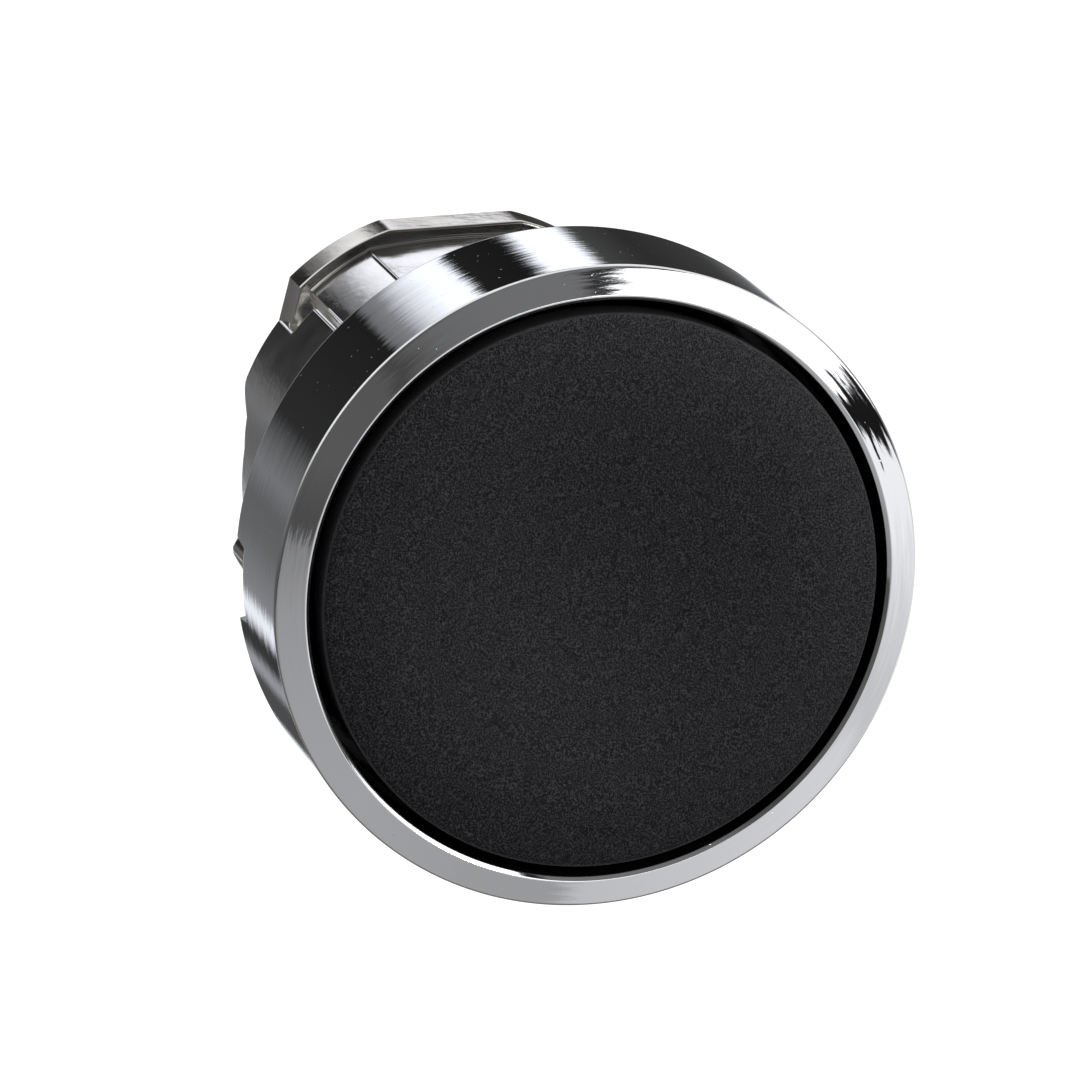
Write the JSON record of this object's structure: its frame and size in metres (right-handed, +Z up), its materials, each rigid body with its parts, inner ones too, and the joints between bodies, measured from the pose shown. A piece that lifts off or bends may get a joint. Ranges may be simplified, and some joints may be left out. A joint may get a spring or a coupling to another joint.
{
  "type": "industrial push button",
  "caption": "Flush spring-return push-button head: bright round bezel, die-cast barrel with bayonet ears, dished cap on a sprung plunger.",
  "frame": {"origin": "centre of the plane where the bezel's skirt seats on the panel", "axes": "+Y along the button's axis towards the wiring side, so the cap faces -Y; +Z up, through the anti-rotation key; +X to the right as seen by a person who presses it"},
  "size_m": [0.029, 0.0286, 0.029],
  "materials": {
    "bright_chrome": "bright chrome plate on zinc, fine scuffs",
    "satin_chrome": "duller chrome plate on a die-cast surface",
    "spring_steel": "drawn spring steel, lightly oiled",
    "zinc_plate": "bright zinc plate",
    "black_rubber": "matt moulded nitrile rubber",
    "cap_plastic": "black plastic with a fine moulded grain",
    "black_nylon": "glass-filled nylon, semi-matt",
    "white_acetal": "natural acetal, slightly waxy"
  },
  "bodies": {
    "head": {"bezel": "bright_chrome", "bezel_seal": "black_rubber", "barrel": "satin_chrome", "panel_gasket": "black_rubber", "anti_rotation_key": "black_nylon", "guide_bush": "white_acetal", "lip_seal": "black_rubber", "seal_retainer": "black_nylon", "stop_bumper": "black_rubber", "return_spring": "spring_steel", "spring_washer": "zinc_plate", "rear_guide": "black_nylon", "retaining_ring": "spring_steel"},
    "button": {"push_cap": "cap_plastic", "plunger": "white_acetal", "pusher_bar": "white_acetal", "contact_pusher_left": "white_acetal", "contact_pusher_right": "white_acetal", "lock_washer": "spring_steel", "pusher_screw": "zinc_plate"}
  },
  "joints": [
    {"name": "press", "type": "slide", "parent": "head", "child": "button", "axis": [0, 1, 0], "range_m": [0, 0.004], "stiffness_N_per_m": 700, "springref_m": -0.0035, "deforming": ["return_spring"]}
  ]
}
